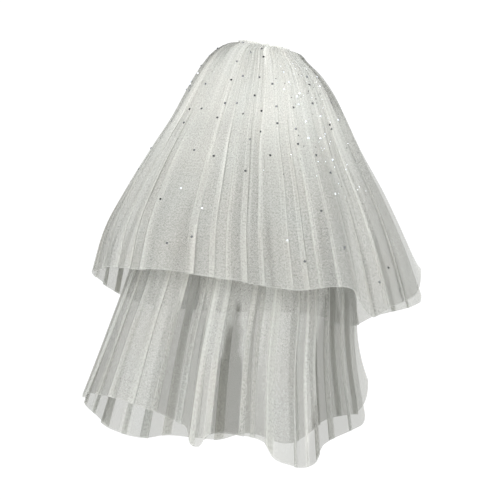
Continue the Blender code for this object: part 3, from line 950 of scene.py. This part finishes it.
def make_rhinestones(settings):
    """One cut stone, modelled once and copied to each place on the upper tier."""
    bpy.ops.object.select_all(action="DESELECT")
    width = settings.width
    bpy.ops.mesh.primitive_cone_add(
        vertices=8, radius1=width / 2, radius2=width * STONE_TOP, depth=width * STONE_DEPTH,
        location=(0, 0, 0),
    )
    shape = bevelled_shape(bpy.context.active_object, width * STONE_BEVEL)

    tier = tiers()["upper_tier"]
    columns = columns_of(tier["folds"], tier["edges"])
    shares = np.linspace(0, 1, STONE_ROWS)
    points = cloth_points(tier, columns, shares, bpy.context.scene.veil_tulle.gather)
    chance = np.random.default_rng(5)
    places = rhinestone_places()
    moves = []
    for angle, share, _, size in places:
        row = min(max(int(round(share * (STONE_ROWS - 1))), 1), STONE_ROWS - 2)
        place = int(np.argmin(np.abs(columns[:, 0] - angle)))
        place = min(max(place, 1), len(columns) - 2)
        around = Vector(points[row, place + 1]) - Vector(points[row, place - 1])
        down = Vector(points[row + 1, place]) - Vector(points[row - 1, place])
        outward = down.cross(around).normalized()
        plain = np.array(columns[place, 0])
        if outward.dot(Vector(outward_of(tier, plain, plain, np.array(share)))) < 0:
            outward = -outward
        tilt = Vector(chance.normal(0, STONE_TILT, 3))
        turn = (outward + tilt).normalized().to_track_quat("Z", "Y").to_matrix().to_4x4()
        centre = Vector(points[row, place]) + outward * (width * size * STONE_DEPTH / 2 + STONE_OFF)
        moves.append(Matrix.Translation(centre) @ turn @ Matrix.Scale(size, 4))
    made = copies("rhinestones", shape, moves, crystal_material(settings))
    # Each stone's painted light and shade goes into the stone attribute.
    painted_lights = np.array([painted_light for _, _, painted_light, _ in places], dtype=np.float32)
    stored = made.data.attributes.new("stone", "FLOAT", "POINT")
    stored.data.foreach_set("value", np.repeat(painted_lights, len(made.data.vertices) // len(places)))
    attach(made, "root")
    return made


def make_stitches(settings):
    """One short stitch of thread, modelled once and copied along the gathers."""
    bpy.ops.object.select_all(action="DESELECT")
    bpy.ops.mesh.primitive_cylinder_add(
        vertices=6, radius=STITCH_RADIUS, depth=settings.stitch * STITCH_STRAIGHT,
        rotation=(0, math.pi / 2, 0), location=(0, 0, 0),
    )
    bpy.ops.object.transform_apply(location=False, rotation=True, scale=False)
    shape = bevelled_shape(bpy.context.active_object, STITCH_BEVEL)

    ring = dict(zip(SECTION_COLUMNS, UPPER_SECTIONS[0]))
    half_width, depth = ring["half_width"], ring["back_depth"]
    moves = []
    for step in range(STITCH_COUNT):
        angle = 2 * math.pi * (step + 0.5) / STITCH_COUNT
        along = Vector((half_width * math.cos(angle), depth * math.sin(angle), 0)).normalized()
        outward = Vector((along.y, -along.x, 0))
        place = Vector((half_width * math.sin(angle), -depth * math.cos(angle), 0))
        place = place + outward * STITCH_OUT
        place.z = STITCH_UP - LEAN * place.x
        along.z = -LEAN * along.x
        along.normalize()
        turn = Matrix((along, outward.cross(along).normalized(), outward)).transposed().to_4x4()
        moves.append(Matrix.Translation(place) @ turn)
    made = copies("gather_stitches", shape, moves, tape_material(settings))
    made.data.shade_smooth()
    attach(made, "root")
    return made


def aim(thing, target):
    """Points a light or the camera at a place."""
    thing.rotation_euler = (Vector(target) - thing.location).to_track_quat("-Z", "Y").to_euler()


def area_light(name, place, target, size, power, colour):
    """A square light at a place, pointed at a target."""
    made = bpy.data.objects.new(name, bpy.data.lights.new(name, "AREA"))
    bpy.context.collection.objects.link(made)
    made.data.size = size
    made.data.energy = power
    made.data.color = colour
    made.location = place
    aim(made, target)
    return made


def paper_material():
    """White paper, mostly an even glow, so that shadows hardly show on it."""
    made, tree, output = shader_nodes("paper")
    paper = add_node(tree, "BsdfDiffuse", {"Color": (PAPER_GREY, PAPER_GREY, PAPER_GREY, 1)})
    glow = add_node(tree, "Emission", {"Color": (1, 1, 1, 1), "Strength": PAPER_GLOW})
    both = add_node(tree, "AddShader", {0: paper.outputs["BSDF"], 1: glow.outputs["Emission"]})
    tree.links.new(both.outputs["Shader"], output.inputs["Surface"])
    return made


def make_sweep(drop):
    """A floor with a wall behind it, which throws neither light nor shadow on the veil."""
    bpy.ops.object.select_all(action="DESELECT")
    bpy.ops.mesh.primitive_plane_add(size=1, location=(0, 0, -drop))
    sweep = bpy.context.active_object
    sweep.name = "floor_sweep"
    sweep.scale = (*FLOOR_SIZE, 1)
    bpy.ops.object.transform_apply(location=True, rotation=False, scale=True)
    shape = bmesh.new()
    shape.from_mesh(sweep.data)
    for vertex in shape.verts:
        vertex.select = False
    for edge in shape.edges:
        edge.select = False
    for edge in shape.edges:
        if all(vertex.co.y > 0 for vertex in edge.verts):
            edge.select_set(True)
    shape.to_mesh(sweep.data)
    shape.free()
    bpy.ops.object.mode_set(mode="EDIT")
    bpy.ops.mesh.select_mode(type="EDGE")
    bpy.ops.mesh.extrude_region_move(TRANSFORM_OT_translate={"value": (0, 0, WALL_HEIGHT)})
    bpy.ops.object.mode_set(mode="OBJECT")
    sweep.data.materials.clear()
    sweep.data.materials.append(paper_material())
    sweep.visible_diffuse = False
    sweep.visible_glossy = False
    sweep.visible_transmission = False
    sweep.visible_shadow = False
    return sweep


def make_room():
    """The even light from all sides."""
    made = bpy.data.worlds.new("studio")
    made.use_nodes = True
    background = made.node_tree.nodes["Background"]
    background.inputs["Color"].default_value = (*ROOM_COLOUR, 1)
    background.inputs["Strength"].default_value = ROOM_STRENGTH
    return made


def make_camera(elevation, distance):
    """The camera, with a lens that gives the photo's scale."""
    made = bpy.data.objects.new("camera", bpy.data.cameras.new("camera"))
    bpy.context.collection.objects.link(made)
    middle = Vector(VIEW_MIDDLE)
    lift = math.sin(elevation) * distance
    back = math.cos(elevation) * distance
    made.location = middle + Vector((0, -back, lift))
    made.data.sensor_width = SENSOR_WIDTH
    made.data.lens = distance / PIXEL * SENSOR_WIDTH / PHOTO_WIDTH
    made.data.clip_end = VIEW_END
    aim(made, middle)
    return made


class VEIL_OT_upper_tier(bpy.types.Operator):
    """Makes the short tier"""

    bl_idname = "veil.upper_tier"
    bl_label = "Upper tier"

    def execute(self, context):
        made = make_tier("upper_tier", context.scene.veil_tulle)
        made.data.materials.append(tulle_material(context.scene.veil_tulle))
        return {"FINISHED"}


class VEIL_OT_lower_tier(bpy.types.Operator):
    """Makes the long tier"""

    bl_idname = "veil.lower_tier"
    bl_label = "Lower tier"

    def execute(self, context):
        made = make_tier("lower_tier", context.scene.veil_tulle)
        made.data.materials.append(tulle_material(context.scene.veil_tulle))
        return {"FINISHED"}


class VEIL_OT_rhinestones(bpy.types.Operator):
    """Scatters the rhinestones over the short tier"""

    bl_idname = "veil.rhinestones"
    bl_label = "Rhinestones"

    def execute(self, context):
        make_rhinestones(context.scene.veil_rhinestones)
        return {"FINISHED"}


class VEIL_OT_heading(bpy.types.Operator):
    """Finishes the comb and its binding"""

    bl_idname = "veil.heading"
    bl_label = "Comb and binding"

    def execute(self, context):
        settings = context.scene.veil_heading
        for node, finish in (
            ("heading_binding", tape_material(settings)), ("comb", plastic_material(settings)),
        ):
            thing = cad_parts[node]
            for slot in thing.material_slots:
                slot.material = finish
        make_stitches(settings)
        return {"FINISHED"}


class VEIL_OT_stage(bpy.types.Operator):
    """Makes the floor, the lights and the camera"""

    bl_idname = "veil.stage"
    bl_label = "Stage"

    def execute(self, context):
        settings = context.scene.veil_stage
        make_sweep(settings.floor)
        for name, place, target, size, colour in LIGHTS:
            area_light(name, place, target, size, getattr(settings, name), colour)
        context.scene.world = make_room()
        context.scene.camera = make_camera(settings.elevation, settings.distance)
        context.scene.view_settings.view_transform = "Standard"
        context.scene.cycles.transparent_max_bounces = NET_BOUNCES
        return {"FINISHED"}


class VEIL_PT_panel(bpy.types.Panel):
    """The veil's pieces, sizes and colours"""

    bl_idname = "VEIL_PT_panel"
    bl_label = "Bridal veil"
    bl_space_type = "VIEW_3D"
    bl_region_type = "UI"
    bl_category = "Veil"

    def draw(self, context):
        for operator, group in (
            (VEIL_OT_upper_tier, "veil_tulle"), (VEIL_OT_lower_tier, None),
            (VEIL_OT_rhinestones, "veil_rhinestones"), (VEIL_OT_heading, "veil_heading"),
            (VEIL_OT_stage, "veil_stage"),
        ):
            self.layout.operator(operator.bl_idname)
            if group:
                settings = getattr(context.scene, group)
                for name in settings.__annotations__:
                    self.layout.prop(settings, name)


GROUPS = {
    "veil_tulle": TulleSettings,
    "veil_rhinestones": RhinestoneSettings,
    "veil_heading": HeadingSettings,
    "veil_stage": StageSettings,
}
OPERATORS = (VEIL_OT_upper_tier, VEIL_OT_lower_tier, VEIL_OT_rhinestones, VEIL_OT_heading, VEIL_OT_stage)


def register():
    for item in (*GROUPS.values(), *OPERATORS, VEIL_PT_panel):
        bpy.utils.register_class(item)
    for name, group in GROUPS.items():
        setattr(bpy.types.Scene, name, PointerProperty(type=group))


def unregister():
    for name in GROUPS:
        delattr(bpy.types.Scene, name)
    for item in (VEIL_PT_panel, *reversed(OPERATORS), *reversed(tuple(GROUPS.values()))):
        bpy.utils.unregister_class(item)


def main():
    register()
    bpy.ops.veil.upper_tier()
    bpy.ops.veil.lower_tier()
    bpy.ops.veil.rhinestones()
    bpy.ops.veil.heading()
    bpy.ops.veil.stage()


if __name__ == "__main__":
    main()
